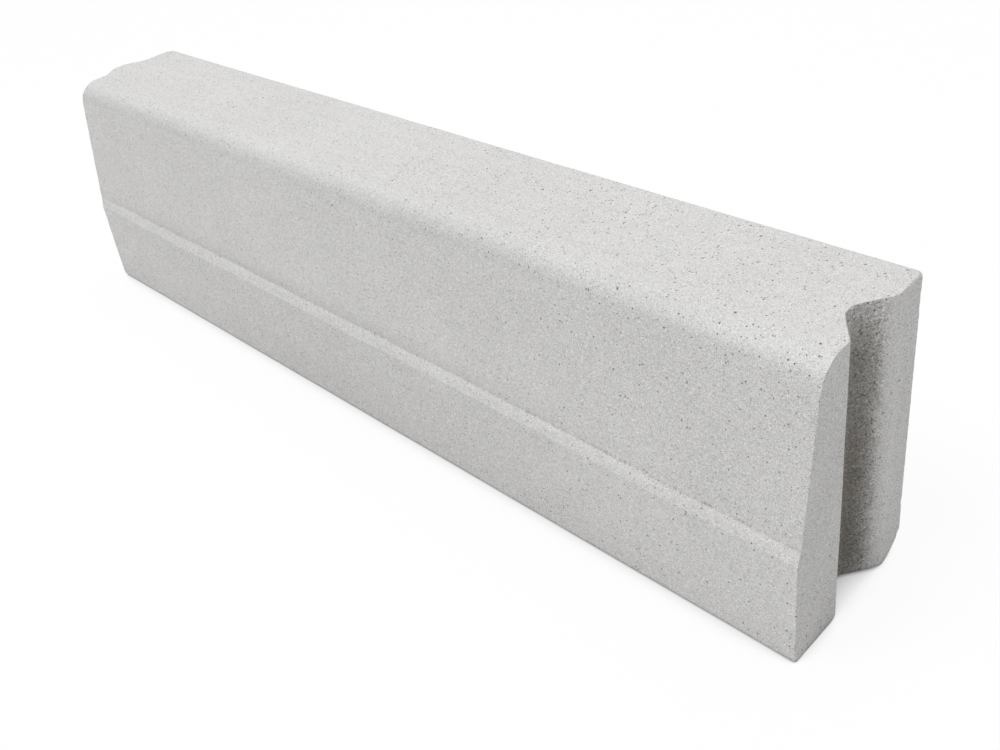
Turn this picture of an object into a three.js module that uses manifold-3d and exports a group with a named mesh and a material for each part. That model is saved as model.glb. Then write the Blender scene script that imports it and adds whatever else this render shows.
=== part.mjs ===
// A concrete kerb stone: one casting, with a tongue down one end and a groove down the other.
// Millimetres, +Z up. The length runs along X, the road side faces -Y, and the base stands on z = 0.
import * as THREE from 'three';
import { mergeVertices } from 'three/addons/utils/BufferGeometryUtils.js';
import Module from 'manifold-3d';

// The body
const faceLength = 987; // from one end face to the other, without the tongue
const baseWidth = 150; // front to back at the base
const height = 250; // at the back, to the sharp corner

// The road side: an upright foot, a narrow sloping ledge, then a face that leans back to the top
const topWidth = 126; // front to back at the top, measured to the sharp corner
const topFall = 4; // how far the top drops from the back to the front, to shed water
const footHeight = 98; // from the base up to the ledge
const ledgeRise = 11; // how tall the sloping ledge is
const ledgeDepth = 4; // how far the foot stands out from the leaning face
const topFrontRadius = 25;
const footRadius = 4; // the front edge of the base
const ledgeRadius = 2.5; // the ledge's outer edge

// The back: upright, with a bevel along the base
const topBackRadius = 4;
const bevelHeight = 18;
const bevelDepth = 22;
const bevelTopRadius = 4;
const bevelFootRadius = 22;

// The end joint: the groove, and the tongue that fits it
const jointOffset = 9; // the joint's middle, towards the back from the kerb's middle
const grooveMouth = 60; // its width at the end face
const grooveFloor = 11; // its width at the bottom
const grooveDepth = 18;
const jointClearance = 5; // between the tongue and the groove, at the tip and along the flanks
const flankRadius = 13; // the groove's inner corners and the tongue's outer ones
const backLipRadius = 20; // the soft edge beside the back land
const frontLipRadius = 1.5; // the crisp edge beside the front land

// The vertical back edges
const backCornerRadius = 5;

const arcSegments = 10;

const tongueReach = grooveDepth - jointClearance;
const rightFace = (faceLength + tongueReach) / 2;
const leftFace = rightFace - faceLength;
const tongueTip = leftFace - tongueReach;
const front = -baseWidth / 2;
const back = baseWidth / 2;

function corner(x, y, radius = 0) {
  return { point: new THREE.Vector2(x, y), radius };
}

// A closed outline from its sharp corners in turn, each one rounded by an arc of its own radius
function roundedOutline(corners) {
  const shape = new THREE.Shape();
  corners.forEach(({ point, radius }, index) => {
    const before = corners.at(index - 1).point;
    const after = corners.at((index + 1) % corners.length).point;
    const toBefore = before.clone().sub(point).normalize();
    const toAfter = after.clone().sub(point).normalize();
    const halfAngle = Math.acos(toBefore.dot(toAfter)) / 2;
    const tangent = radius / Math.tan(halfAngle);
    const start = toBefore.clone().multiplyScalar(tangent).add(point);
    if (index === 0) shape.moveTo(start.x, start.y);
    if (radius === 0) {
      shape.lineTo(point.x, point.y);
      return;
    }
    const end = toAfter.clone().multiplyScalar(tangent).add(point);
    const inward = toBefore.clone().add(toAfter).normalize();
    const centre = inward.multiplyScalar(radius / Math.sin(halfAngle)).add(point);
    const clockwise = toBefore.cross(toAfter) > 0;
    const startAngle = start.sub(centre).angle();
    const endAngle = end.sub(centre).angle();
    shape.absarc(centre.x, centre.y, radius, startAngle, endAngle, clockwise);
  });
  shape.closePath();
  return shape;
}

// The cross-section, seen with the front on the left: across the kerb, then up
function crossSection() {
  const ledgeTop = footHeight + ledgeRise;
  return roundedOutline([
    corner(front, 0, footRadius),
    corner(back - bevelDepth, 0, bevelFootRadius),
    corner(back, bevelHeight, bevelTopRadius),
    corner(back, height, topBackRadius),
    corner(back - topWidth, height - topFall, topFrontRadius),
    corner(front + ledgeDepth, ledgeTop),
    corner(front, footHeight, ledgeRadius),
  ]);
}

// The plan, seen from above: the groove is cut into the right end and the tongue stands out of the left
function plan() {
  const flankRun = (grooveMouth - grooveFloor) / 2;
  const flankSlope = flankRun / grooveDepth;
  const grooveRoot = grooveMouth / 2;
  const grooveTip = grooveFloor / 2;
  const tongueRoot = grooveRoot - jointClearance;
  const tongueHalfTip = tongueRoot - flankSlope * tongueReach;
  const grooveBottom = rightFace - grooveDepth;
  return roundedOutline([
    corner(leftFace, front),
    corner(rightFace, front),
    corner(rightFace, jointOffset - grooveRoot, frontLipRadius),
    corner(grooveBottom, jointOffset - grooveTip, flankRadius),
    corner(grooveBottom, jointOffset + grooveTip, flankRadius),
    corner(rightFace, jointOffset + grooveRoot, backLipRadius),
    corner(rightFace, back, backCornerRadius),
    corner(leftFace, back, backCornerRadius),
    corner(leftFace, jointOffset + tongueRoot, backLipRadius),
    corner(tongueTip, jointOffset + tongueHalfTip, flankRadius),
    corner(tongueTip, jointOffset - tongueHalfTip, flankRadius),
    corner(leftFace, jointOffset - tongueRoot, frontLipRadius),
  ]);
}

function prism(shape, depth) {
  return new THREE.ExtrudeGeometry(shape, { depth, bevelEnabled: false, curveSegments: arcSegments });
}

const wasm = await Module();
wasm.setup();

function solidFrom(geometry) {
  geometry.deleteAttribute('normal');
  geometry.deleteAttribute('uv');
  const merged = mergeVertices(geometry);
  return new wasm.Manifold(new wasm.Mesh({
    numProp: 3,
    vertProperties: new Float32Array(merged.attributes.position.array),
    triVerts: new Uint32Array(merged.index.array),
  }));
}

function geometryFrom(solid) {
  const mesh = solid.getMesh();
  const geometry = new THREE.BufferGeometry();
  geometry.setAttribute('position', new THREE.BufferAttribute(mesh.vertProperties, 3));
  geometry.setIndex(new THREE.BufferAttribute(mesh.triVerts, 1));
  const flat = geometry.toNonIndexed();
  flat.computeVertexNormals();
  return flat;
}

// The section runs the whole length, and the plan then shapes both ends of it
const overrun = 5;
const bar = prism(crossSection(), faceLength + tongueReach + 2 * overrun);
bar.rotateX(Math.PI / 2);
bar.rotateZ(Math.PI / 2);
bar.translate(tongueTip - overrun, 0, 0);
const footprint = prism(plan(), height + 2 * overrun);
footprint.translate(0, 0, -overrun);
const casting = solidFrom(bar).intersect(solidFrom(footprint));

const concrete = new THREE.MeshStandardMaterial({ color: 0xc4c3c1, roughness: 0.92, metalness: 0 });
const kerbStone = new THREE.Mesh(geometryFrom(casting), concrete);
kerbStone.name = 'kerb_stone';

const group = new THREE.Group();
group.add(kerbStone);

export default group;
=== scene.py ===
import math

import bpy
import numpy as np
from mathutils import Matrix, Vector, geometry


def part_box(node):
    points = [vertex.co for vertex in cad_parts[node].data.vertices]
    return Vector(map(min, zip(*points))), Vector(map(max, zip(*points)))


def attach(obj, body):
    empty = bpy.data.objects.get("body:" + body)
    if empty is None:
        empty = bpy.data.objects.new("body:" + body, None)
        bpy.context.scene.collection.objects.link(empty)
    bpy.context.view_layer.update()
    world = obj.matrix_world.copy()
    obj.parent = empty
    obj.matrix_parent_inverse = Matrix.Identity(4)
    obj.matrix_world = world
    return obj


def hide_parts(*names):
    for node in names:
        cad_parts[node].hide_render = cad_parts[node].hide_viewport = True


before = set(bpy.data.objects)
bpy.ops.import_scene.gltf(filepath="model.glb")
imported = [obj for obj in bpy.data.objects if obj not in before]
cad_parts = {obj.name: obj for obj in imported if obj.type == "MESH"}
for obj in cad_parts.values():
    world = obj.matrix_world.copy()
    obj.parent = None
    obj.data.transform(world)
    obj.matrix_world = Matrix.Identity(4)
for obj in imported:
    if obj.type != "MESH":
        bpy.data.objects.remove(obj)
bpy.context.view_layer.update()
kerbLow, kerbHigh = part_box("kerb_stone")
print("kerb frame loaded")

mm = 0.001  # the kerb is worked out in millimetres and built in metres


# A smooth random field from -1 to 1, with humps about `size` apart
def lumps(points, size, seed):
    slopeCount = 256
    fullHeight = 1.6  # brings the usual humps close to 1
    rng = np.random.default_rng(seed)
    order = np.tile(rng.permutation(slopeCount), 3)
    slopes = rng.normal(size=(slopeCount, 3))
    slopes /= np.linalg.norm(slopes, axis=1, keepdims=True)
    scaled = points / size
    cell = np.floor(scaled).astype(int)
    inside = scaled - cell
    ease = inside ** 3 * (inside * (inside * 6 - 15) + 10)
    total = np.zeros(len(points))
    for dx in (0, 1):
        for dy in (0, 1):
            for dz in (0, 1):
                step = np.array([dx, dy, dz])
                key = (cell + step) % slopeCount
                pick = order[order[order[key[:, 0]] + key[:, 1]] + key[:, 2]]
                weight = np.abs(1 - step - ease).prod(axis=1)
                total += weight * ((inside - step) * slopes[pick]).sum(axis=1)
    return np.clip(total * fullHeight, -1, 1)


# Layers of humps added up, each given as (distance between humps, height, seed)
def layers(points, settings):
    return sum(height * lumps(points, size, seed) for size, height, seed in settings)


# The same along the kerb's length only
def layersAlong(distance, settings):
    aside, above = 0.37, 0.61  # in cells of the field, which is flat along its cells' edges
    total = np.zeros(len(distance))
    for size, height, seed in settings:
        scaled = distance / size
        line = np.column_stack([scaled, np.full_like(scaled, aside), np.full_like(scaled, above)])
        total += height * lumps(line, 1, seed)
    return total


# Separate pits: the part of a field's humps above `rise`, times `depth`
def pits(points, size, rise, depth, seed):
    return np.maximum(lumps(points, size, seed) - rise, 0) * depth


# From 0 at `low` to 1 at `high`, smoothly
def ramp(value, low, high):
    share = np.clip((value - low) / (high - low), 0, 1)
    return share * share * (3 - 2 * share)


# The other way, from 1 at `low` to 0 at `high`
def fall(value, low, high):
    return 1 - ramp(value, low, high)


# From one share to another between two places
def change(value, places, shares):
    return shares[0] + (shares[1] - shares[0]) * ramp(value, *places)


# 1 at the middle, and next to nothing beyond twice the width
def bell(value, middle, width):
    return np.exp(-((value - middle) / width) ** 2)


# The points of an arc round `centre`, by turning evenly from its start to its end
def arcPoints(start, end, centre, radius, turn, arcStep):
    widestTurn = 0.45  # in radians, between two points of a small arc
    pieces = max(2, math.ceil(radius * turn / min(arcStep, radius * widestTurn)))
    first, last = (start - centre) / radius, (end - centre) / radius
    arc = []
    for number in range(pieces + 1):
        share = number / pieces
        near, far = math.sin((1 - share) * turn), math.sin(share * turn)
        arc.append(centre + radius * (near * first + far * last) / math.sin(turn))
    return arc


# Each corner is (point, radius, step along the straight that follows it)
def roundedOutline(corners, arcStep):
    arcs = []
    count = len(corners)
    for index, (point, radius, _) in enumerate(corners):
        point = np.array(point, float)
        if radius == 0:
            arcs.append([point])
            continue
        before = np.array(corners[index - 1][0], float)
        after = np.array(corners[(index + 1) % count][0], float)
        toBefore = (before - point) / np.linalg.norm(before - point)
        toAfter = (after - point) / np.linalg.norm(after - point)
        halfAngle = math.acos(float(toBefore @ toAfter)) / 2
        tangent = radius / math.tan(halfAngle)
        start, end = point + toBefore * tangent, point + toAfter * tangent
        inward = (toBefore + toAfter) / np.linalg.norm(toBefore + toAfter)
        centre = point + inward * radius / math.sin(halfAngle)
        arcs.append(arcPoints(start, end, centre, radius, math.pi - 2 * halfAngle, arcStep))
    points = []
    for arc, following, (_, _, step) in zip(arcs, arcs[1:] + arcs[:1], corners):
        points.extend(arc)
        points.extend(straightBetween(arc[-1], following[0], step))
    return np.array(points)


# Points between two ends, closer together towards both of them
def straightBetween(begin, finish, step):
    length = float(np.linalg.norm(finish - begin))
    marks = gradedMarks(length, step)
    return [begin + (finish - begin) * mark / length for mark in marks[1:-1]]


def gradedMarks(length, step, first=0.5, growth=1.45):
    gradedShare = 0.4  # the most of the length that each graded run takes
    run, size = [0.0], first
    while size < step and run[-1] + size < length * gradedShare:
        run.append(run[-1] + size)
        size *= growth
    middle = length - 2 * run[-1]
    pieces = max(1, math.ceil(middle / step))
    centre = [run[-1] + middle * number / pieces for number in range(1, pieces)]
    return np.array(run + centre + [length - mark for mark in reversed(run)])


# Signed distance to a closed outline, negative inside, and the direction straight out of it
def distanceTo(outline, x, y):
    batch = 8000  # points taken at a time, to spare memory
    following = np.roll(outline, -1, axis=0)
    along = following - outline
    lengths = np.linalg.norm(along, axis=1)
    outward = np.column_stack([along[:, 1], -along[:, 0]]) / lengths[:, None]
    corner = outward + np.roll(outward, 1, axis=0)
    corner /= np.linalg.norm(corner, axis=1, keepdims=True)
    distance = np.empty(len(x))
    direction = np.empty((len(x), 2))
    for low in range(0, len(x), batch):
        px, py = x[low:low + batch, None], y[low:low + batch, None]
        offX, offY = px - outline[:, 0], py - outline[:, 1]
        share = np.clip((offX * along[:, 0] + offY * along[:, 1]) / lengths ** 2, 0, 1)
        apart = np.hypot(offX - share * along[:, 0], offY - share * along[:, 1])
        nearest = apart.argmin(axis=1)
        rows = np.arange(len(nearest))
        best = share[rows, nearest][:, None]
        normal = corner[nearest] * (1 - best) + corner[(nearest + 1) % len(outline)] * best
        normal /= np.linalg.norm(normal, axis=1, keepdims=True)
        foot = outline[nearest] + along[nearest] * best
        gap = np.column_stack([px[:, 0], py[:, 0]]) - foot
        side = np.where((gap * normal).sum(axis=1) >= 0, 1.0, -1.0)
        distance[low:low + batch] = apart[rows, nearest] * side
        direction[low:low + batch] = normal
    return distance, direction


kerbShape = {
    "height": 250,  # at the back, to the sharp corner
    "topWidth": 126,  # to the sharp corner
    "topFall": 4,
    "footHeight": 98,
    "ledgeRise": 11,
    "ledgeDepth": 4,
    "topFrontRadius": 25,
    "footRadius": 4,
    "ledgeRadius": 2.5,
    "topBackRadius": 4,
    "bevelHeight": 18,
    "bevelDepth": 22,
    "bevelTopRadius": 4,
    "bevelFootRadius": 22,
    "jointOffset": 9,  # the joint's middle, towards the back
    "grooveMouth": 60,
    "grooveFloor": 11,
    "grooveDepth": 18,
    "jointClearance": 5,
    "flankRadius": 13,
    "backLipRadius": 20,
    "frontLipRadius": 1.5,
}

# Distances between the lines of the mesh, in millimetres
kerbMesh = {
    "topStep": 2.7,
    "leanStep": 2.9,
    "ledgeStep": 1.0,
    "footStep": 3.2,
    "backStep": 5.5,
    "bevelStep": 3,
    "baseStep": 8,
    "arcStep": 1.9,
    "planStep": 20,
    "planJointStep": 2,
    "planArcStep": 0.9,
    "lengthStep": 3.75,
    "endStep": 0.4,  # the first step in from an end
    "bendLength": 70,  # how far from an end the lines bend to follow the joint
    "jointStep": 1.7,
    "lipLines": (-2.4, -1.1, -0.45, 0, 0.5),  # from the groove's front lip
    "jointLines": (1.2, 3),  # the joint's even lines: (start behind its front lip, end past its back one)
    "capStep": 3.0,
    "capRings": ((0.45, 1), (1.1, 1), (2.1, 2), (3.8, 2)),  # (depth inside the edge, one point in so many)
    "capInset": 5.4,  # how far inside the edge the cap's columns and rows end
    "capFoot": 6,  # its lowest row
    "capLipLines": (-2.2, -1.0, -0.45, 0, 0.5),
    "capFront": -4.2,  # the first column in front of the groove's front lip
    "capJoint": (1.5, 4),  # the joint's columns, as its even lines
    "capBack": 6,  # the first column past the back lip
}

lengthAll = (kerbHigh.x - kerbLow.x) / mm
baseWidth = (kerbHigh.y - kerbLow.y) / mm
kerbHeight = kerbShape["height"]
front, back = -baseWidth / 2, baseWidth / 2
rightFace = lengthAll / 2
tongueReach = kerbShape["grooveDepth"] - kerbShape["jointClearance"]
leftFace = -lengthAll / 2 + tongueReach
footHeight = kerbShape["footHeight"]
ledgeTop = footHeight + kerbShape["ledgeRise"]
jointFront = kerbShape["jointOffset"] - kerbShape["grooveMouth"] / 2
jointBack = jointFront + kerbShape["grooveMouth"]
baseBand, topBand = 0.01, 5  # every point of the base and the top lies so near its level
grooveReach = 30  # the groove is shallower than this


def sectionOutline():
    shape, mesh = kerbShape, kerbMesh
    topFront = (back - shape["topWidth"], kerbHeight - shape["topFall"])
    return roundedOutline([
        ((front, 0), shape["footRadius"], mesh["baseStep"]),
        ((back - shape["bevelDepth"], 0), shape["bevelFootRadius"], mesh["bevelStep"]),
        ((back, shape["bevelHeight"]), shape["bevelTopRadius"], mesh["backStep"]),
        ((back, kerbHeight), shape["topBackRadius"], mesh["topStep"]),
        (topFront, shape["topFrontRadius"], mesh["leanStep"]),
        ((front + shape["ledgeDepth"], ledgeTop), 0, mesh["ledgeStep"]),
        ((front, footHeight), shape["ledgeRadius"], mesh["footStep"]),
    ], mesh["arcStep"])


# The joint's corners in plan, from the front land to the back one
def jointCorners(face, tip, rootHalf, tipHalf):
    shape = kerbShape
    middle, step = shape["jointOffset"], kerbMesh["planJointStep"]
    return [
        ((face, middle - rootHalf), shape["frontLipRadius"], step),
        ((tip, middle - tipHalf), shape["flankRadius"], step),
        ((tip, middle + tipHalf), shape["flankRadius"], step),
        ((face, middle + rootHalf), shape["backLipRadius"], step),
    ]


def planOutline():
    shape, step = kerbShape, kerbMesh["planStep"]
    rootHalf, floorHalf = shape["grooveMouth"] / 2, shape["grooveFloor"] / 2
    flankSlope = (rootHalf - floorHalf) / shape["grooveDepth"]
    tongueRoot = rootHalf - shape["jointClearance"]
    tongueTip = tongueRoot - flankSlope * tongueReach
    beyond = 60  # the plan runs past the front and the back, which the section shapes
    return roundedOutline([
        ((leftFace, front - beyond), 0, step),
        ((rightFace, front - beyond), 0, step),
        *jointCorners(rightFace, rightFace - shape["grooveDepth"], rootHalf, floorHalf),
        ((rightFace, back + beyond), 0, step),
        ((leftFace, back + beyond), 0, step),
        *reversed(jointCorners(leftFace, leftFace - tongueReach, tongueRoot, tongueTip)),
    ], kerbMesh["planArcStep"])


section = sectionOutline()
plan = planOutline()


# Where each end lies for a given distance across the kerb
def endAt(across, side):
    endDepth = 40  # every point of an end lies within this of the overall length's end
    wanted = plan[:, 0] * side > lengthAll / 2 - endDepth
    edge = plan[wanted]
    edge = edge[np.argsort(edge[:, 1])]
    return np.interp(across, edge[:, 1], edge[:, 0])


# Whether a point of the section lies on the base or the top
def isLevel(height):
    return height < baseBand or height > kerbHeight - topBand


# More lines across the top and the base where the groove and the tongue are shaped
def addJointLines(outline):
    apart = 0.3  # the least distance from a new line to an old one
    behindLip, pastBack = kerbMesh["jointLines"]
    count = round((jointBack - jointFront) / kerbMesh["jointStep"])
    lipLines = [jointFront + offset for offset in kerbMesh["lipLines"]]
    lines = np.concatenate([lipLines, np.linspace(jointFront + behindLip, jointBack + pastBack, count)])
    points = []
    for index, point in enumerate(outline):
        after = outline[(index + 1) % len(outline)]
        points.append(point)
        if not (isLevel(point[1]) and isLevel(after[1])):
            continue
        nearer, farther = min(point[0], after[0]), max(point[0], after[0])
        between = [line for line in lines if nearer + apart < line < farther - apart]
        if after[0] < point[0]:
            between.reverse()
        for line in between:
            share = (line - point[0]) / (after[0] - point[0])
            points.append(point + (after - point) * share)

    # the older lines among them go
    wanted = {round(float(line), 3) for line in lines}
    kept = [points[0]]
    for point in points[1:]:
        within = lipLines[0] < point[0] < jointBack + pastBack
        if isLevel(point[1]) and within and round(float(point[0]), 3) not in wanted:
            continue
        kept.append(point)
    return np.array(kept)


section = addJointLines(section)
print("outlines drawn:", len(section), "points round the section,", len(plan), "round the plan")


# The body as a net of lines along it and round it, closed by a fine cap at each end
def kerbNet():
    bend = kerbMesh["bendLength"]
    rightEnd, leftEnd = endAt(section[:, 0], 1), endAt(section[:, 0], -1)
    marks = gradedMarks(rightFace - leftFace, kerbMesh["lengthStep"], first=kerbMesh["endStep"]) + leftFace
    bendRight = ramp(marks, rightFace - bend, rightFace) ** 2
    bendLeft = fall(marks, leftFace, leftFace + bend) ** 2
    around = len(section)
    points = []
    for mark, toRight, toLeft in zip(marks, bendRight, bendLeft):
        along = mark + toRight * (rightEnd - rightFace) + toLeft * (leftEnd - leftFace)
        points.append(np.column_stack([along, section[:, 0], section[:, 1]]))
    faces = []
    for ring in range(len(marks) - 1):
        low, high = ring * around, (ring + 1) * around
        for index in range(around):
            after = (index + 1) % around
            faces.append((low + index, high + index, high + after, low + after))
    points = np.concatenate(points)
    inner, triangles = capTriangles()
    for side, firstOfRing in ((-1, 0), (1, (len(marks) - 1) * around)):
        base = len(points)
        capPoints = np.column_stack([endAt(inner[:, 0], side), inner[:, 0], inner[:, 1]])
        points = np.concatenate([points, capPoints])
        for triangle in triangles:
            ids = [firstOfRing + i if i < around else base + i - around for i in triangle]
            faces.append(tuple(ids) if side > 0 else tuple(reversed(ids)))
    return points, faces


# Rings of points that follow the section's edge on the inside
def capRings():
    before, following = np.roll(section, 1, axis=0), np.roll(section, -1, axis=0)
    tangent = following - before
    outward = np.column_stack([tangent[:, 1], -tangent[:, 0]])
    outward /= np.linalg.norm(outward, axis=1, keepdims=True)
    keptShare = 0.9  # a point nearer the edge than this share of the depth is where the ring crosses itself
    rings = []
    for depth, skip in kerbMesh["capRings"]:
        ring = section[::skip] - outward[::skip] * depth
        away = -distanceTo(section, ring[:, 0], ring[:, 1])[0]
        rings.append(ring[away > depth * keptShare])
    return np.concatenate(rings)


# The inside of the section as triangles, with lines following its edge and the groove
def capTriangles():
    mesh = kerbMesh
    around = len(section)
    behindLip, pastBack = mesh["capJoint"]
    columns = np.concatenate([
        np.arange(jointFront + mesh["capFront"], front, -mesh["capStep"])[::-1],
        [jointFront + offset for offset in mesh["capLipLines"]],
        np.arange(jointFront + behindLip, jointBack + pastBack, mesh["jointStep"]),
        np.arange(jointBack + mesh["capBack"], back, mesh["capStep"]),
    ])
    rows = np.arange(mesh["capFoot"], kerbHeight, mesh["capStep"])
    grid = np.array([(column, row) for column in columns for row in rows])
    depth = -distanceTo(section, grid[:, 0], grid[:, 1])[0]
    inner = np.concatenate([capRings(), grid[depth > mesh["capInset"]]])
    everything = np.concatenate([section, inner])

    # bowed a little, so that no three points of a straight side lie on one line
    bow = 0.03
    across, up = everything[:, 0] / back, everything[:, 1] / (kerbHeight / 2) - 1
    bowed = np.column_stack([
        everything[:, 0] * (1 + bow - bow * up ** 2),
        up * kerbHeight / 2 * (1 + bow - bow * across ** 2),
    ])
    loop, insideOnly, nearness = list(range(around)), 1, 1e-5
    corners = [Vector(point) for point in bowed.tolist()]
    found = geometry.delaunay_2d_cdt(corners, [], [loop], insideOnly, nearness, True)
    original = np.array([ids[0] for ids in found[3]])
    triangles = original[np.array(found[2])]
    middles = bowed[triangles].mean(axis=1)
    inside = distanceTo(bowed[:around], middles[:, 0], middles[:, 1])[0] < 0
    return inner, [tuple(triangle) for triangle in triangles[inside].tolist()]


points, faces = kerbNet()
print("net made:", len(points), "points")

kerbEdges = {
    "arris": 0.8,  # how far a worn arris is rounded
    "arrisWander": 0.5,
    "wander": ((14, 1, 11), (6, 0.5, 12)),  # (distance between humps, share, seed)
    "wanderLeast": -0.9,
    "backCorner": 5,
    "backCornerFrom": (9, 5),  # how far in front of the back its rounding starts and is full
    "baseEnds": 1.6,
    "baseFade": (14, 22),  # how far up the rounding of the base's ends starts to fade, and is gone
    "grooveFoot": 6.5,
    "grooveFootCorner": 7.5,  # where the groove's front edge meets the base
    "grooveFootReach": 9,
    "jointFrom": (3, 2),  # its rounding starts so far before the front lip, and is full so far behind
    "jointEnd": 8,  # and it is gone so far past the back lip
    "limits": (0.4, 12),  # the least and the most that any arris is rounded
}


# How far each arris is rounded at a point: worn a little more here and there
def arrisRadius(points):
    edges = kerbEdges
    x, y, z = points.T
    worn = np.maximum(layers(points, edges["wander"]), edges["wanderLeast"])
    radius = edges["arris"] + edges["arrisWander"] * worn
    before, behind = edges["jointFrom"]
    inJoint = ramp(y, jointFront - before, jointFront + behind)
    inJoint *= fall(y, jointBack, jointBack + edges["jointEnd"])
    foot = bell(y, jointFront, edges["grooveFootReach"])
    foot = edges["grooveFoot"] + (edges["grooveFootCorner"] - edges["grooveFoot"]) * foot
    foot = edges["baseEnds"] + (foot - edges["baseEnds"]) * inJoint
    nearBase = fall(z, *edges["baseFade"])
    radius += nearBase * (foot - radius) * (x > 0)
    starts, full = edges["backCornerFrom"]
    atBack = ramp(y, back - starts, back - full)
    radius += atBack * (edges["backCorner"] - radius)
    return np.clip(radius, *edges["limits"])


# Moves each point onto the body, with every arris between the section and an end rounded
def roundArrises(points):
    rounds = 3  # enough for the points to settle
    tiny = 1e-6  # nothing is divided by less
    for _ in range(rounds):
        x, y, z = points.T
        radius = arrisRadius(points)
        fromSection, sectionOut = distanceTo(section, y, z)
        fromPlan, planOut = distanceTo(plan, x, y)
        overSection = np.maximum(fromSection + radius, 0)
        overPlan = np.maximum(fromPlan + radius, 0)
        reach = np.hypot(overSection, overPlan)
        onEdge = np.maximum(reach, tiny)
        partSection, partPlan = overSection / onEdge, overPlan / onEdge
        outward = np.column_stack([
            partPlan * planOut[:, 0],
            partSection * sectionOut[:, 0] + partPlan * planOut[:, 1],
            partSection * sectionOut[:, 1],
        ])
        outward /= np.linalg.norm(outward, axis=1, keepdims=True)
        points = points - outward * (reach - radius)[:, None]
    arris = 2 * np.minimum(partSection, partPlan)
    return points, outward, arris


points, outward, arris = roundArrises(points)
print("arrises rounded")

# In millimetres. Humps are (distance between them, height, seed), and pits
# (distance between them, height of field that they start at, depth, seed).
kerbRelief = {
    "humps": ((150, 0.22, 21), (42, 0.13, 22), (15, 0.07, 23)),
    "sunk": 0.285,  # the skin lies in by this much, so the humps stay inside the CAD box
    "roughHumps": ((9, 0.22, 31),),  # in the groove and on the tongue
    "roughGroove": (1, 7),  # depth into the groove where it starts and is full
    "roughTongue": (0.3, 2.5),  # the same from the left face out along the tongue
    "roughTongueShare": 0.5,
    "roughTurn": (0.3, 0.6),  # how squarely the skin faces an end where it starts and is full
    "hollowHeight": 12,  # the hollow above the ledge
    "hollowDepth": 1.0,
    "hollowRight": ((240, 420), (1, 0.15)),  # (places along the kerb, share of the depth at each)
    "hollowLeft": ((-475, -430), (0.3, 1)),
    "hollowMean": 0.75,
    "hollowHumps": ((33, 0.35, 41), (11, 0.25, 42)),
    "crumblePits": (9, 0.2, 0.9, 43),  # the crumbled line where the hollow and the ledge meet
    "crumbleWidth": 3.5,
    "crumbleAlong": ((100, 420), (0.5, 1.4)),
    "bitePits": ((8, 0.32, 1.92, 51), (17, 0.45, 2.4, 52)),  # small bites out of the arrises
    "biteFrom": (0.3, 1),
    "slump": 1.6,  # the foot's top sinks in towards the left end
    "slumpFrom": (400, 482),  # how far to the left it starts and is full
    "slumpReach": 45,  # down the foot
    "slumpFront": (40, 65),
    "ledgeHumps": ((70, 0.9, 61), (24, 0.45, 62)),  # the ledge wanders up and down along the kerb
    "ledgeDrop": ((100, 430), (0, 2.5)),
    "ledgeBand": (5, 16),  # what wanders with it: (middle below the ledge's top, half height)
}


# (axis, side, how squarely the skin faces that way where it starts to count and where it is full)
kerbFacing = {
    "up": (2, 1, 0.3, 0.8),
    "front": (1, -1, 0.6, 0.85),
    "right": (0, 1, 0.6, 0.9),
}


def facing(outward, way):
    axis, side, starts, full = kerbFacing[way]
    return ramp(outward[:, axis] * side, starts, full)


# Where the cast skin is rough: in the groove and on the tongue
def roughPlaces(points, outward):
    relief = kerbRelief
    x = points[:, 0]
    inGroove = ramp(rightFace - x, *relief["roughGroove"]) * (x > rightFace - grooveReach)
    onTongue = ramp(leftFace - x, *relief["roughTongue"]) * relief["roughTongueShare"]
    return np.maximum(inGroove, onTongue) * ramp(np.abs(outward[:, 0]), *relief["roughTurn"])


# The depth of the hollow above the ledge, and of the crumbled line at its foot
def ledgeHollow(points):
    relief = kerbRelief
    x, z = points[:, 0], points[:, 2]
    rise = z - ledgeTop
    reach = np.where(rise < 0, -kerbShape["ledgeRise"], relief["hollowHeight"])
    hollow = np.clip(1 - rise / reach, 0, 1) ** 2 * relief["hollowDepth"]
    hollow *= change(x, *relief["hollowRight"]) * change(x, *relief["hollowLeft"])
    hollow *= relief["hollowMean"] + layersAlong(x, relief["hollowHumps"])
    crumbled = pits(points, *relief["crumblePits"]) * bell(z, ledgeTop, relief["crumbleWidth"])
    return hollow + crumbled * change(x, *relief["crumbleAlong"])


# How far the foot's top sinks in at the left end
def footSlump(points):
    relief = kerbRelief
    x, y, z = points.T
    below = bell(z, footHeight, relief["slumpReach"])
    sunken = np.where(z > footHeight, fall(z, footHeight, ledgeTop), below)
    return relief["slump"] * sunken * ramp(-x, *relief["slumpFrom"]) * ramp(-y, *relief["slumpFront"])


# How far the ledge is moved up, or down where it is negative
def ledgeWander(points, outward):
    relief = kerbRelief
    x, z = points[:, 0], points[:, 2]
    below, width = relief["ledgeBand"]
    shift = layersAlong(x, relief["ledgeHumps"]) - change(x, *relief["ledgeDrop"])
    return shift * facing(outward, "front") * bell(z, ledgeTop - below, width)


def castRelief(points, outward, arris):
    relief = kerbRelief
    rough = roughPlaces(points, outward)
    height = layers(points, relief["humps"]) - relief["sunk"]
    height += rough * layers(points, relief["roughHumps"])
    height -= facing(outward, "front") * ledgeHollow(points)
    bites = sum(pits(points, *bite) for bite in relief["bitePits"])
    height -= bites * ramp(arris, *relief["biteFrom"])
    moved = points + outward * height[:, None]
    moved[:, 1] += footSlump(points)
    moved[:, 2] += ledgeWander(points, outward)
    return moved, rough


plainPoints = points
points, rough = castRelief(points, outward, arris)
print("relief cast")

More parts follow.
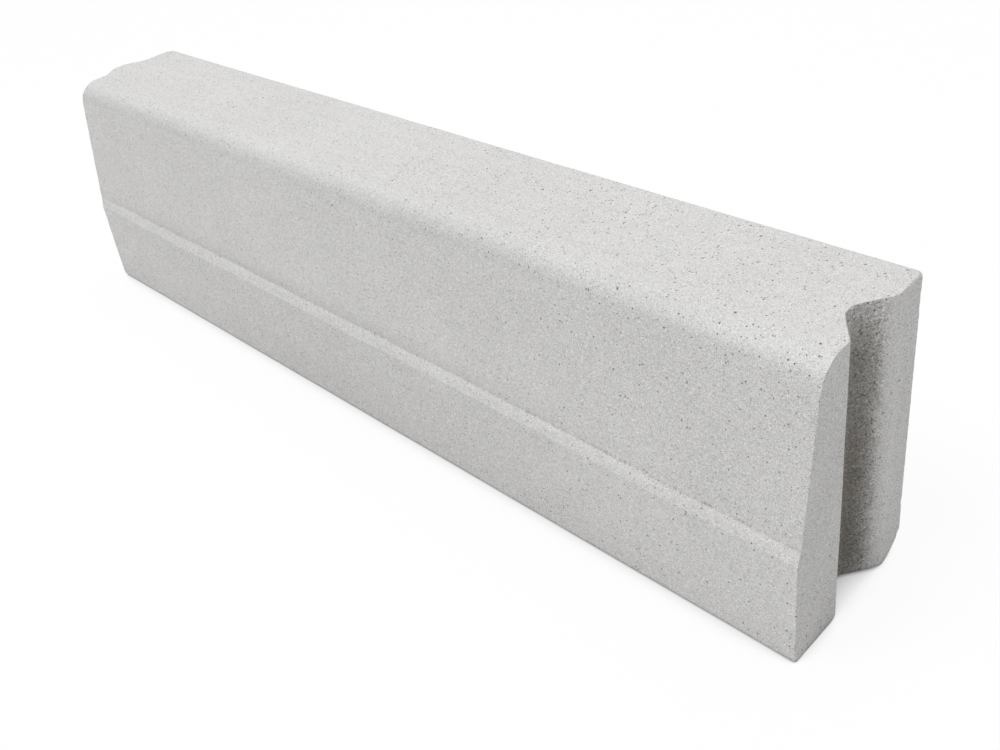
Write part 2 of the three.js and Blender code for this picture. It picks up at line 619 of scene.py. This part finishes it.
# In millimetres and degrees. A pair of pairs is (two places, the share at each).
kerbSkin = {
    # painted shade deep in the groove
    "darkHumps": ((9, 1.1, 71), (4, 0.7, 72)),  # its uneven edge
    "darkHumpsFrom": (0.3, 2),
    "darkFrom": (1.8, 8),  # depth into the groove
    "darkFull": ((5, 14), (0.6, 1)),
    "darkBeside": 8,  # how far it may reach past the groove's lips
    "darkTurn": (0.25, 0.55),  # how squarely the skin faces right where it starts and is full
    "darkPatches": ((16, 7, 73),),
    "darkTop": ((0, 48), (0.35, 0.85)),  # down from the top
    "darkLow": ((100, 190), (0.15, 0)),  # up from the base
    "darkBase": ((0, 30), (0.8, 1)),

    # painted shade and a painted cool sheen on the turn of the top's front edge: how far it has turned
    # down, in degrees
    "turnFrom": (0.1, 0.3),  # how squarely it faces forward where it starts and is full
    "turnLowest": 60,  # above the ledge
    "shadeEnd": (64, 84),
    "coolTurn": (40, 15),  # (middle, half width) of the painted cool sheen
    "turnAlong": (150, 430),  # the four below change from their first value to their second here
    "shadeStart": (20, 48),
    "shadeFull": (62, 66),
    "shadeShare": (1, 0.52),
    "coolShare": (1, 0.5),

    # painted light on the ledge's slope, just under its top, on the groove's back lip and on the top's turn
    # near the right end, paler worn places on the foot and the right end, and the edges of the foot and of
    # the ledge's slope
    "footEdge": (-1, 0.5),
    "ledgeLow": (-1, 1),
    "ledgeHigh": (-1.5, 0.5),
    "ledgeLight": ((50, 320), (0.05, 0.13)),
    "lipLight": ((0, 300), (0.05, 0.22)),
    "lipPlace": (2.8, 2.3),  # (middle below the ledge's top, half height)
    "footWear": ((200, 330), (0.02, 0.14)),
    "footWearUp": (0, 50),
    "endWear": 0.1,
    "endWearUp": (40, 150),
    "endWearBack": (40, 45),
    "backLipLight": 0.18,
    "backLipPlace": (45, 4),  # (middle, half width) across the kerb
    "backLipDepth": 3,
    "backLipTurn": 0.5,
    "turnLight": ((330, 430), (0, 0.19)),
    "turnLightPlace": (41, 14),

    # painted shade in the hollow above the ledge and low on the middle of the foot, and a painted contact
    # shadow along the base
    "ledgeShade": ((180, 330), (0.32, 0)),
    "ledgeShadeHeight": 17,
    "ledgeShadeEdge": (-0.7, 0.5),
    "ledgeShadeMiddle": (-120, 220),  # (where along the kerb it is thickest, half length)
    "ledgeShadeEven": 0.5,
    "footShade": ((15, 95), (0.21, 0.06)),
    "footShadeMiddle": (20, 230),
    "baseShade": ((1.7, 5.2), (0.85, 0)),
    "baseHumps": ((12, 0.9, 79),),

    # pores
    "pores": 0.32,
    "poreHumps": ((26, 0.14, 77),),
    "topHumps": ((34, 1, 75), (13, 0.6, 76)),
    "topMiddle": (230, 300),
    "topMore": 0.6,
    "topLeft": ((-300, 0), (0.3, -0.1)),
    "topPores": ((-0.2, 1), (0, 0.75)),
    "rightPores": ((250, 480), (0, 0.25)),
    "rightHumps": ((22, 1, 78),),
    "rightFrom": (-0.1, 0.6),
    "leftPores": ((-400, -60), (0.2, 0)),
    "leftTopPores": ((-400, -60), (0.15, 0)),

    # coarse sand, and the cracks along the ledge
    "sandySides": 0.4,
    "sandyFoot": ((150, 400), (0.5, 0.2)),
    "sandyEnd": 0.15,
    "cracks": ((130, 300), (0.14, 0.48)),
    "crackPlace": (0.6, 1.1),  # (middle above the ledge's top, half height)
    "crackHumps": ((21, 1, 80),),
    "crackBreaks": ((-0.3, 0.4), (0.45, 1)),
}


# The front below the ledge, from 0 to 1
def footFace(points, outward):
    return facing(outward, "front") * fall(points[:, 2] - footHeight, *kerbSkin["footEdge"])


# How far the top's front edge has turned down, in degrees, and where it is that edge
def topTurn(points, outward):
    turned = np.degrees(np.arccos(np.clip(outward[:, 2], -1, 1)))
    onTurn = ramp(-outward[:, 1], *kerbSkin["turnFrom"])
    return turned, onTurn * (points[:, 2] > ledgeTop + kerbSkin["turnLowest"])


# The concrete's masks, from 0 to 1, each named for what it shows
# Painted shade deep in the groove, fading towards its mouth, its top and its base
def paintedGrooveShade(points, outward):
    skin = kerbSkin
    x, y, z = points.T
    inside = rightFace - x
    depth = inside + layers(points, skin["darkHumps"]) * ramp(inside, *skin["darkHumpsFrom"])
    beside = skin["darkBeside"]
    inGroove = (y > jointFront - beside) & (y < jointBack + beside) & (depth < grooveReach)
    patches = layers(points, skin["darkPatches"])
    dark = inGroove * ramp(depth, *skin["darkFrom"]) * change(depth, *skin["darkFull"])
    dark *= ramp(outward[:, 0], *skin["darkTurn"])
    dark *= change(kerbHeight - z + patches, *skin["darkTop"]) + change(z, *skin["darkLow"])
    return dark * change(z + patches, *skin["darkBase"])


def turnShade(points, outward):
    skin = kerbSkin
    turned, onTurn = topTurn(points, outward)
    names = ("shadeStart", "shadeFull", "shadeShare")
    start, full, share = [change(points[:, 0], skin["turnAlong"], skin[name]) for name in names]
    return share * onTurn * ramp(turned, start, full) * fall(turned, *skin["shadeEnd"])


# A painted cool sheen partway round the turn of the top's front edge
def paintedCoolSheen(points, outward):
    skin = kerbSkin
    turned, onTurn = topTurn(points, outward)
    share = change(points[:, 0], skin["turnAlong"], skin["coolShare"])
    return share * onTurn * bell(turned, *skin["coolTurn"])


# Painted light on the ledge's slope, just under its top, on the groove's back lip and on the top's turn
# near the right end, and paler worn places on the foot and the right end
def wearAndPaintedLight(points, outward):
    skin = kerbSkin
    x, y, z = points.T
    onFront = facing(outward, "front")
    onLedge = ramp(z - footHeight, *skin["ledgeLow"]) * fall(z - ledgeTop, *skin["ledgeHigh"])
    below, width = skin["lipPlace"]
    onLip = bell(z, ledgeTop - below, width)
    pale = onFront * (onLedge * change(x, *skin["ledgeLight"]) + onLip * change(x, *skin["lipLight"]))
    pale += footFace(points, outward) * change(x, *skin["footWear"]) * ramp(z, *skin["footWearUp"])
    endPlaces = np.maximum(ramp(z, *skin["endWearUp"]), ramp(y, *skin["endWearBack"]))
    pale += facing(outward, "right") * endPlaces * skin["endWear"]
    onBackLip = (x > rightFace - skin["backLipDepth"]) & (outward[:, 0] > skin["backLipTurn"])
    pale += onBackLip * bell(y, *skin["backLipPlace"]) * skin["backLipLight"]
    turned, onTurn = topTurn(points, outward)
    return pale + onTurn * bell(turned, *skin["turnLightPlace"]) * change(x, *skin["turnLight"])


# Painted shade in the hollow above the ledge and low on the middle of the foot, and a painted contact
# shadow along the base
def paintedShade(points, outward):
    skin = kerbSkin
    x, z = points[:, 0], points[:, 2]
    rise = z - ledgeTop
    even = skin["ledgeShadeEven"]
    darkened = facing(outward, "front") * change(x, *skin["ledgeShade"])
    darkened *= np.clip(1 - rise / skin["ledgeShadeHeight"], 0, 1) * ramp(rise, *skin["ledgeShadeEdge"])
    darkened *= even + (1 - even) * bell(x, *skin["ledgeShadeMiddle"])
    onFoot = footFace(points, outward) * change(z, *skin["footShade"])
    darkened += onFoot * bell(x, *skin["footShadeMiddle"])
    return darkened + change(z + layers(points, skin["baseHumps"]), *skin["baseShade"])


def porous(points, outward):
    skin = kerbSkin
    x = points[:, 0]
    onTop = facing(outward, "up")
    clusters = layers(points, skin["topHumps"]) + skin["topMore"] * bell(x, *skin["topMiddle"])
    clusters += change(x, *skin["topLeft"])
    pores = skin["pores"] + layers(points, skin["poreHumps"]) + onTop * change(clusters, *skin["topPores"])
    onRight = ramp(layers(points, skin["rightHumps"]), *skin["rightFrom"]) * (1 - onTop)
    pores += onRight * change(x, *skin["rightPores"])
    return pores + change(x, *skin["leftPores"]) + onTop * change(x, *skin["leftTopPores"])


def sandy(points, outward):
    skin = kerbSkin
    sides = (1 - facing(outward, "up")) * skin["sandySides"]
    foot = footFace(points, outward) * change(points[:, 0], *skin["sandyFoot"])
    return sides + foot + facing(outward, "right") * skin["sandyEnd"]


def cracked(points, outward):
    skin = kerbSkin
    x, z = points[:, 0], points[:, 2]
    above, width = skin["crackPlace"]
    cracks = facing(outward, "front") * bell(z, ledgeTop + above, width) * change(x, *skin["cracks"])
    return cracks * change(layersAlong(x, skin["crackHumps"]), *skin["crackBreaks"])


def buildKerb():
    mesh = bpy.data.meshes.new("castKerb")
    mesh.from_pydata((points * mm).tolist(), [], faces)
    mesh.update()
    mesh.validate()
    masks = {"roughCast": rough, "arrisWear": arris}
    for mask in (paintedGrooveShade, turnShade, paintedCoolSheen, wearAndPaintedLight, paintedShade, porous, sandy, cracked):
        masks[mask.__name__] = mask(plainPoints, outward)
    for name, values in masks.items():
        layer = mesh.attributes.new(name, "FLOAT", "POINT")
        layer.data.foreach_set("value", np.clip(values, 0, 1).astype(np.float32))
    mesh.shade_smooth()
    kerb = bpy.data.objects.new("castKerb", mesh)
    bpy.context.scene.collection.objects.link(kerb)
    return kerb


castKerb = buildKerb()
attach(castKerb, "root")
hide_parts("kerb_stone")
print("kerb built:", sum(len(face.vertices) - 2 for face in castKerb.data.polygons), "triangles")


def addNode(tree, kind, place, **values):
    node = tree.nodes.new(kind)
    node.location = place
    for name, value in values.items():
        setattr(node, name, value)
    return node


# The node tree of a new material or sky, emptied
def emptyTree(owner):
    owner.use_nodes = True
    owner.node_tree.nodes.clear()
    return owner.node_tree


# A number or colour is set on the socket, and anything else is linked to it
def fillSocket(tree, socket, value):
    if isinstance(value, (int, float)):
        socket.default_value = value
    elif isinstance(value, tuple):
        socket.default_value = (*value, 1)
    else:
        tree.links.new(value, socket)


def mathNode(tree, operation, place, *values):
    node = addNode(tree, "ShaderNodeMath", place, operation=operation)
    for socket, value in zip(node.inputs, values):
        fillSocket(tree, socket, value)
    return node.outputs[0]


def rangeNode(tree, place, value, fromLow, fromHigh, toLow=0.0, toHigh=1.0):
    node = addNode(tree, "ShaderNodeMapRange", place, clamp=True)
    names = ("Value", "From Min", "From Max", "To Min", "To Max")
    for name, setting in zip(names, (value, fromLow, fromHigh, toLow, toHigh)):
        fillSocket(tree, node.inputs[name], setting)
    return node.outputs["Result"]


def noiseNode(tree, place, vector, scale, detail, roughness):
    node = addNode(tree, "ShaderNodeTexNoise", place)
    names = ("Vector", "Scale", "Detail", "Roughness")
    for name, setting in zip(names, (vector, scale, detail, roughness)):
        fillSocket(tree, node.inputs[name], setting)
    return node.outputs["Fac"]


def tintNode(tree, place, blend, amount, first, second):
    node = addNode(tree, "ShaderNodeMix", place, data_type="RGBA", blend_type=blend)
    inputs = [socket for socket in node.inputs if socket.enabled]
    for socket, value in zip(inputs, (amount, first, second)):
        fillSocket(tree, socket, value)
    return [socket for socket in node.outputs if socket.enabled][0]


def newGroup(name, inputs, outputs):
    group = bpy.data.node_groups.new(name, "ShaderNodeTree")
    for label, kind, value in inputs:
        socket = group.interface.new_socket(name=label, in_out="INPUT", socket_type=kind)
        if value is not None:
            socket.default_value = value
    for label, kind in outputs:
        group.interface.new_socket(name=label, in_out="OUTPUT", socket_type=kind)
    return group, addNode(group, "NodeGroupInput", (-900, 0)), addNode(group, "NodeGroupOutput", (900, 0))


def useGroup(tree, group, place, **values):
    node = addNode(tree, "ShaderNodeGroup", place, node_tree=group)
    for name, value in values.items():
        fillSocket(tree, node.inputs[name], value)
    return node


# Places counted in cells of the given size
def cellsOf(group, vector, size):
    perMetre = mathNode(group, "DIVIDE", (-700, -200), 1.0, size)
    place = addNode(group, "ShaderNodeVectorMath", (-520, 0), operation="SCALE")
    group.links.new(vector, place.inputs["Vector"])
    group.links.new(perMetre, place.inputs["Scale"])
    return place.outputs["Vector"]


# One cell a unit: the distance to its middle, and three random numbers for it
def scatterNode(group, place, vector):
    cells = addNode(group, "ShaderNodeTexVoronoi", place)
    cells.inputs["Scale"].default_value = 1.0
    group.links.new(vector, cells.inputs["Vector"])
    split = addNode(group, "ShaderNodeSeparateColor", (place[0] + 180, place[1]))
    group.links.new(cells.outputs["Color"], split.inputs["Color"])
    return (cells.outputs["Distance"], *split.outputs)


sandLook = {
    "cement": (0.7, 3.0, 0.75),  # (scale, detail, roughness) of the cement between the grains
    "cementSpan": (0.3, 0.7),
    "cementTone": 0.6,
    "grainTone": 0.45,
    "grainEdge": (0.3, 0.62),
    "grainHeight": -0.5,
    "paleGrains": (0.9, 0.98),  # a few grains are much paler, and a few much darker
    "darkGrains": (0.88, 1.0),
    "spotTone": 1.7,
}


# Fine sand: a tone on both sides of 0, and a height
def sandGroup():
    look = sandLook
    group, given, out = newGroup("sandGrain", [
        ("Vector", "NodeSocketVector", None),
        ("Size", "NodeSocketFloat", 0.0009),
    ], [("Tone", "NodeSocketFloat"), ("Height", "NodeSocketFloat")])
    scaled = cellsOf(group, given.outputs["Vector"], given.outputs["Size"])
    cement = noiseNode(group, (-300, 300), scaled, *look["cement"])
    distance, red, green, blue = scatterNode(group, (-300, 0), scaled)
    cementTone, grainTone, spotTone = look["cementTone"], look["grainTone"], look["spotTone"]
    between = rangeNode(group, (60, 300), cement, *look["cementSpan"], -cementTone, cementTone)
    grain = rangeNode(group, (60, 80), red, 0.0, 1.0, -grainTone, grainTone)
    pale = rangeNode(group, (60, -140), green, *look["paleGrains"], 0.0, spotTone)
    dark = rangeNode(group, (60, -360), blue, *look["darkGrains"], 0.0, -spotTone)
    middle = rangeNode(group, (-120, -220), distance, *look["grainEdge"], 1.0, 0.0)
    spots = mathNode(group, "ADD", (240, -240), pale, dark)
    body = mathNode(group, "ADD", (240, 200), between, grain)
    tone = mathNode(group, "MULTIPLY_ADD", (420, 0), spots, middle, body)
    height = mathNode(group, "MULTIPLY_ADD", (480, -200), distance, look["grainHeight"], cement)
    group.links.new(tone, out.inputs["Tone"])
    group.links.new(height, out.inputs["Height"])
    return group


poreLook = {
    "leastSize": 0.6,  # in shares of the radius
    "moreSize": 0.8,
    "edge": (0.6, 1.05),
}


# Pores: small round holes in some cells only
def poreGroup():
    look = poreLook
    group, given, out = newGroup("castPores", [
        ("Vector", "NodeSocketVector", None),
        ("Spacing", "NodeSocketFloat", 0.0024),
        ("Radius", "NodeSocketFloat", 0.25),
        ("Share", "NodeSocketFloat", 0.1),
    ], [("Mask", "NodeSocketFloat")])
    scaled = cellsOf(group, given.outputs["Vector"], given.outputs["Spacing"])
    distance, red, green, _ = scatterNode(group, (-300, 0), scaled)
    chosen = mathNode(group, "LESS_THAN", (300, 120), red, given.outputs["Share"])
    sized = mathNode(group, "MULTIPLY_ADD", (120, -120), green, look["moreSize"], look["leastSize"])
    radius = mathNode(group, "MULTIPLY", (300, -120), sized, given.outputs["Radius"])
    ratio = mathNode(group, "DIVIDE", (480, -60), distance, radius)
    hole = rangeNode(group, (640, -60), ratio, *look["edge"], 1.0, 0.0)
    mask = mathNode(group, "MULTIPLY", (760, 100), hole, chosen)
    group.links.new(mask, out.inputs["Mask"])
    return group


sandGrain = sandGroup()
castPores = poreGroup()

concreteLook = {
    "colour": (0.595, 0.59, 0.58),
    "poreColour": (0.13, 0.112, 0.1),
    "paintedGrooveShade": (0.315, 0.297, 0.27),  # painted shade: how much of the colour is left deep in the groove
    "turnShade": (0.895, 0.9, 0.9),
    # a painted cool sheen on the turn
    "paintedCoolSheen": (0.985, 0.995, 1.005),
    # painted shade above the ledge, low on the foot and along the base
    "paintedShade": (0.7, 0.695, 0.69),
    # paler worn places, and painted light on the ledge, the groove's back lip and the turn
    "wearAndPaintedLight": 0.3,
    "paleArris": 0.05,
    "roughness": 0.9,
    "sandSize": 0.00062,
    "sandContrast": 0.33,
    "sandyContrast": 0.1485,  # so much more where it is sandy
    "roughSandSize": 0.0014,
    "roughContrast": 0.5,
    "clouds": (  # (scale, detail, roughness, contrast)
        (13.0, 3.0, 0.55, 0.03),
        (60.0, 2.0, 0.5, 0.015),
        (260.0, 1.0, 0.5, 0.024),
    ),
    "cloudSpan": (0.25, 0.75),
    "pores": {"Spacing": 0.0024, "Radius": 0.25},  # in metres, and in shares of the spacing
    "poreShare": (0.012, 0.2, 0.16),  # (everywhere, more where porous, more in the joint)
    "pinholes": {"Spacing": 0.0015, "Radius": 0.26, "Share": 0.07},
    "blowholes": {"Spacing": 0.0045, "Radius": 0.2},
    "blowholeShare": (0.038, -0.056, 0.09),  # (where porous, more there where sandy, more in the joint)
    "poreDepth": 0.92,
    "cracks": (380.0, 2.0, 0.6),  # (scale, detail, roughness)
    "crackEdge": (0.47, 0.56),
    "bumpHeight": 0.00035,
    "bumpStrength": 0.8,
    "sandBump": 0.5,
    "roughSandBump": 1.4,
    "poreBump": -1.3,
}


def attributeMasks(tree):
    names = (
        "roughCast", "arrisWear", "paintedGrooveShade", "turnShade", "paintedCoolSheen",
        "wearAndPaintedLight", "paintedShade", "porous", "sandy", "cracked",
    )
    masks = {}
    for row, name in enumerate(names):
        node = addNode(tree, "ShaderNodeAttribute", (-1500, -300 - 180 * row), attribute_name=name)
        masks[name] = node.outputs["Fac"]
    return masks


# How much paler or darker than the plain concrete the skin is
def castTone(tree, place, masks, fair, coarse):
    look = concreteLook
    contrast = mathNode(
        tree, "MULTIPLY_ADD", (-720, 500), masks["sandy"], look["sandyContrast"], look["sandContrast"])
    roughContrast = mathNode(tree, "MULTIPLY", (-550, 100), masks["roughCast"], look["roughContrast"])
    fineTone = mathNode(tree, "MULTIPLY", (-550, 400), fair.outputs["Tone"], contrast)
    tone = mathNode(tree, "MULTIPLY_ADD", (-380, 200), coarse.outputs["Tone"], roughContrast, fineTone)
    for row, (scale, detail, roughness, strength) in enumerate(look["clouds"]):
        height = 620 + 200 * row
        noise = noiseNode(tree, (-800, height), place, scale, detail, roughness)
        cloud = rangeNode(tree, (-600, height), noise, *look["cloudSpan"], -1.0, 1.0)
        tone = mathNode(tree, "MULTIPLY_ADD", (-380 + 180 * row, height), cloud, strength, tone)
    tone = mathNode(tree, "MULTIPLY_ADD", (160, 400), masks["arrisWear"], look["paleArris"], tone)
    # paler worn places, and painted light on the ledge, the groove's back lip and the turn
    return mathNode(tree, "MULTIPLY_ADD", (320, 400), masks["wearAndPaintedLight"], look["wearAndPaintedLight"], tone)


# Pores, pinholes, blowholes and the cracks along the ledge in one mask
def castHoles(tree, place, masks):
    look = concreteLook
    everywhere, whenPorous, inJoint = look["poreShare"]
    share = mathNode(tree, "MULTIPLY_ADD", (-1000, 0), masks["porous"], whenPorous, everywhere)
    share = mathNode(tree, "MULTIPLY_ADD", (-1000, -120), masks["roughCast"], inJoint, share)
    whenPorous, whenSandy, inJoint = look["blowholeShare"]
    bigShare = mathNode(tree, "MULTIPLY_ADD", (-1360, -240), masks["sandy"], whenSandy, whenPorous)
    bigShare = mathNode(tree, "MULTIPLY", (-1180, -240), masks["porous"], bigShare)
    bigShare = mathNode(tree, "MULTIPLY_ADD", (-1000, -240), masks["roughCast"], inJoint, bigShare)
    pores = useGroup(tree, castPores, (-800, 0), Vector=place, Share=share, **look["pores"])
    pinholes = useGroup(tree, castPores, (-800, -200), Vector=place, **look["pinholes"])
    blowholes = useGroup(tree, castPores, (-800, -400), Vector=place, Share=bigShare, **look["blowholes"])
    noise = noiseNode(tree, (-800, -620), place, *look["cracks"])
    ragged = rangeNode(tree, (-600, -620), noise, *look["crackEdge"])
    cracks = mathNode(tree, "MULTIPLY", (-400, -620), ragged, masks["cracked"])
    holes = mathNode(tree, "MAXIMUM", (-380, -60), pores.outputs["Mask"], pinholes.outputs["Mask"])
    holes = mathNode(tree, "MAXIMUM", (-300, -160), holes, cracks)
    return mathNode(tree, "MAXIMUM", (-200, -60), holes, blowholes.outputs["Mask"])


def castColour(tree, masks, tone, holes):
    look = concreteLook
    factor = mathNode(tree, "ADD", (480, 300), tone, 1.0)
    grey = addNode(tree, "ShaderNodeCombineColor", (640, 100))
    for channel in grey.inputs:
        tree.links.new(factor, channel)
    colour = tintNode(tree, (820, 200), "MULTIPLY", 1.0, look["colour"], grey.outputs["Color"])
    # painted shade in the groove, on the turn and low on the front, and a painted cool sheen on the turn
    for column, name in enumerate(("paintedGrooveShade", "turnShade", "paintedCoolSheen", "paintedShade")):
        place = (1000 + 180 * column, 200)
        colour = tintNode(tree, place, "MULTIPLY", masks[name], colour, look[name])
    deep = mathNode(tree, "MULTIPLY", (0, -60), holes, look["poreDepth"])
    return tintNode(tree, (1720, 200), "MIX", deep, colour, look["poreColour"])


def castBump(tree, masks, fair, coarse, holes):
    look = concreteLook
    height = mathNode(tree, "MULTIPLY", (-380, -300), fair.outputs["Height"], look["sandBump"])
    rough = mathNode(tree, "MULTIPLY", (-550, -420), coarse.outputs["Height"], masks["roughCast"])
    height = mathNode(tree, "MULTIPLY_ADD", (-200, -300), rough, look["roughSandBump"], height)
    height = mathNode(tree, "MULTIPLY_ADD", (0, -300), holes, look["poreBump"], height)
    bump = addNode(tree, "ShaderNodeBump", (900, -300))
    bump.inputs["Strength"].default_value = look["bumpStrength"]
    bump.inputs["Distance"].default_value = look["bumpHeight"]
    tree.links.new(height, bump.inputs["Height"])
    return bump.outputs["Normal"]


def castConcrete():
    look = concreteLook
    material = bpy.data.materials.new("castConcrete")
    tree = emptyTree(material)
    out = addNode(tree, "ShaderNodeOutputMaterial", (2200, 0))
    shader = addNode(tree, "ShaderNodeBsdfPrincipled", (1900, 0))
    tree.links.new(shader.outputs["BSDF"], out.inputs["Surface"])
    place = addNode(tree, "ShaderNodeTexCoord", (-1500, 0)).outputs["Object"]
    masks = attributeMasks(tree)
    fair = useGroup(tree, sandGrain, (-800, 400), Vector=place, Size=look["sandSize"])
    coarse = useGroup(tree, sandGrain, (-800, 200), Vector=place, Size=look["roughSandSize"])
    tone = castTone(tree, place, masks, fair, coarse)
    holes = castHoles(tree, place, masks)
    tree.links.new(castColour(tree, masks, tone, holes), shader.inputs["Base Color"])
    tree.links.new(castBump(tree, masks, fair, coarse, holes), shader.inputs["Normal"])
    shader.inputs["Roughness"].default_value = look["roughness"]
    return material


castKerb.data.materials.append(castConcrete())
print("concrete mixed")


studio = {
    "floorHalf": 12,
    "floorColour": (0.8, 0.8, 0.8),
    "backdropWhite": 0.991,
    "floorShade": 0.07,  # how much of the floor's look is its own shading, and so its shadow
    "floorGlow": 0.92,
    "contactShade": 0.86,  # how dark the floor gets where the kerb closes it in
    "contactClosed": (0.42, 0.86),  # how closed in the floor is where that shade starts and is full
    "contactReach": 0.06,
    "contactSamples": 24,
    "shadeReach": (0.9, 2.4),  # where the shading fades out, in metres from the kerb
    "skyLight": 0.484,
    "lampAim": (0, 0, 0.125),
    "lampDistance": 8,
    "lampSize": 4.2,
    "overheadLamp": {"towards": (-20, 65), "power": 350},  # (azimuth from the front, elevation)
    "rearLamp": {"towards": (180, 70), "power": 136},
}

cameraSet = {
    "place": (0.76775, -0.51991, 0.6304),
    "turn": (57.856, 6.171, 43.567),
    "lens": 38.58,
    "shift": (-0.0405, -0.0645),
}


# 1 for what is seen, straight on, in a reflection or through glass, and 0 for what only gives light
def directRays(tree):
    path = addNode(tree, "ShaderNodeLightPath", (-300, 300)).outputs
    direct = mathNode(tree, "MAXIMUM", (0, 300), path["Is Camera Ray"], path["Is Glossy Ray"])
    return mathNode(tree, "MAXIMUM", (200, 300), direct, path["Is Transmission Ray"])


def mixShaders(tree, place, share, first, second):
    mix = addNode(tree, "ShaderNodeMixShader", place)
    for socket, value in zip(mix.inputs, (share, first, second)):
        tree.links.new(value, socket)
    return mix.outputs["Shader"]


# A plain shader of one colour, or of light of one strength
def plainShader(tree, kind, place, **values):
    shader = addNode(tree, kind, place)
    for name, value in values.items():
        fillSocket(tree, shader.inputs[name], value)
    return shader.outputs[0]


# The floor's glow, dimmed where the kerb closes the floor in
def contactGlow(tree):
    contact = addNode(tree, "ShaderNodeAmbientOcclusion", (-450, -400), samples=studio["contactSamples"])
    contact.inputs["Distance"].default_value = studio["contactReach"]
    closed = mathNode(tree, "SUBTRACT", (-280, -500), 1.0, contact.outputs["AO"])
    shadow = rangeNode(tree, (-110, -500), closed, *studio["contactClosed"])
    lost = -studio["floorGlow"] * studio["contactShade"]
    glowing = mathNode(tree, "MULTIPLY_ADD", (-110, -320), shadow, lost, studio["floorGlow"])
    return plainShader(tree, "ShaderNodeEmission", (50, -250), Strength=glowing)


# 0 near the kerb, and 1 where the floor has faded into the backdrop
def floorFade(tree):
    place = addNode(tree, "ShaderNodeNewGeometry", (-900, -100)).outputs["Position"]
    away = addNode(tree, "ShaderNodeVectorMath", (-700, -100), operation="LENGTH")
    tree.links.new(place, away.inputs[0])
    return rangeNode(tree, (-450, -100), away.outputs["Value"], *studio["shadeReach"])


def paleFloor():
    material = bpy.data.materials.new("paleFloor")
    tree = emptyTree(material)
    out = addNode(tree, "ShaderNodeOutputMaterial", (800, 0))
    matt = plainShader(tree, "ShaderNodeBsdfDiffuse", (0, 0), Color=studio["floorColour"])
    seen = plainShader(tree, "ShaderNodeBsdfDiffuse", (0, -100), Color=(studio["floorShade"],) * 3)
    shaded = addNode(tree, "ShaderNodeAddShader", (200, -150))
    tree.links.new(seen, shaded.inputs[0])
    tree.links.new(contactGlow(tree), shaded.inputs[1])
    white = plainShader(tree, "ShaderNodeEmission", (0, -450), Strength=studio["backdropWhite"])
    bright = mixShaders(tree, (400, -150), floorFade(tree), shaded.outputs["Shader"], white)
    tree.links.new(mixShaders(tree, (600, 0), directRays(tree), matt, bright), out.inputs["Surface"])
    return material


def addFloor():
    half = studio["floorHalf"]
    mesh = bpy.data.meshes.new("studioFloor")
    corners = [(-half, -half, 0), (half, -half, 0), (half, half, 0), (-half, half, 0)]
    mesh.from_pydata(corners, [], [(0, 1, 2, 3)])
    mesh.materials.append(paleFloor())
    floor = bpy.data.objects.new("studioFloor", mesh)
    bpy.context.scene.collection.objects.link(floor)


def addSky():
    world = bpy.data.worlds.new("studioSky")
    bpy.context.scene.world = world
    tree = emptyTree(world)
    out = addNode(tree, "ShaderNodeOutputWorld", (500, 0))
    white = (1, 1, 1)
    sky = plainShader(tree, "ShaderNodeBackground", (0, 0), Color=white, Strength=studio["skyLight"])
    backdrop = plainShader(
        tree, "ShaderNodeBackground", (0, -200), Color=white, Strength=studio["backdropWhite"])
    tree.links.new(mixShaders(tree, (300, 0), directRays(tree), sky, backdrop), out.inputs["Surface"])


def addLamp(name):
    azimuth, elevation = [math.radians(angle) for angle in studio[name]["towards"]]
    level = math.cos(elevation)
    direction = Vector((math.sin(azimuth) * level, -math.cos(azimuth) * level, math.sin(elevation)))
    light = bpy.data.lights.new(name, "AREA")
    light.shape = "DISK"
    light.size = studio["lampSize"]
    light.energy = studio[name]["power"]
    lamp = bpy.data.objects.new(name, light)
    lamp.location = Vector(studio["lampAim"]) + direction * studio["lampDistance"]
    lamp.rotation_euler = direction.to_track_quat("Z", "Y").to_euler()
    bpy.context.scene.collection.objects.link(lamp)


addFloor()
addSky()
addLamp("overheadLamp")
addLamp("rearLamp")

camera = bpy.data.objects.new("kerbCamera", bpy.data.cameras.new("kerbCamera"))
camera.location = cameraSet["place"]
camera.rotation_euler = [math.radians(angle) for angle in cameraSet["turn"]]
camera.data.lens = cameraSet["lens"]
camera.data.shift_x, camera.data.shift_y = cameraSet["shift"]
bpy.context.scene.collection.objects.link(camera)
bpy.context.scene.camera = camera
bpy.context.scene.view_settings.view_transform = "Standard"
print("studio set")
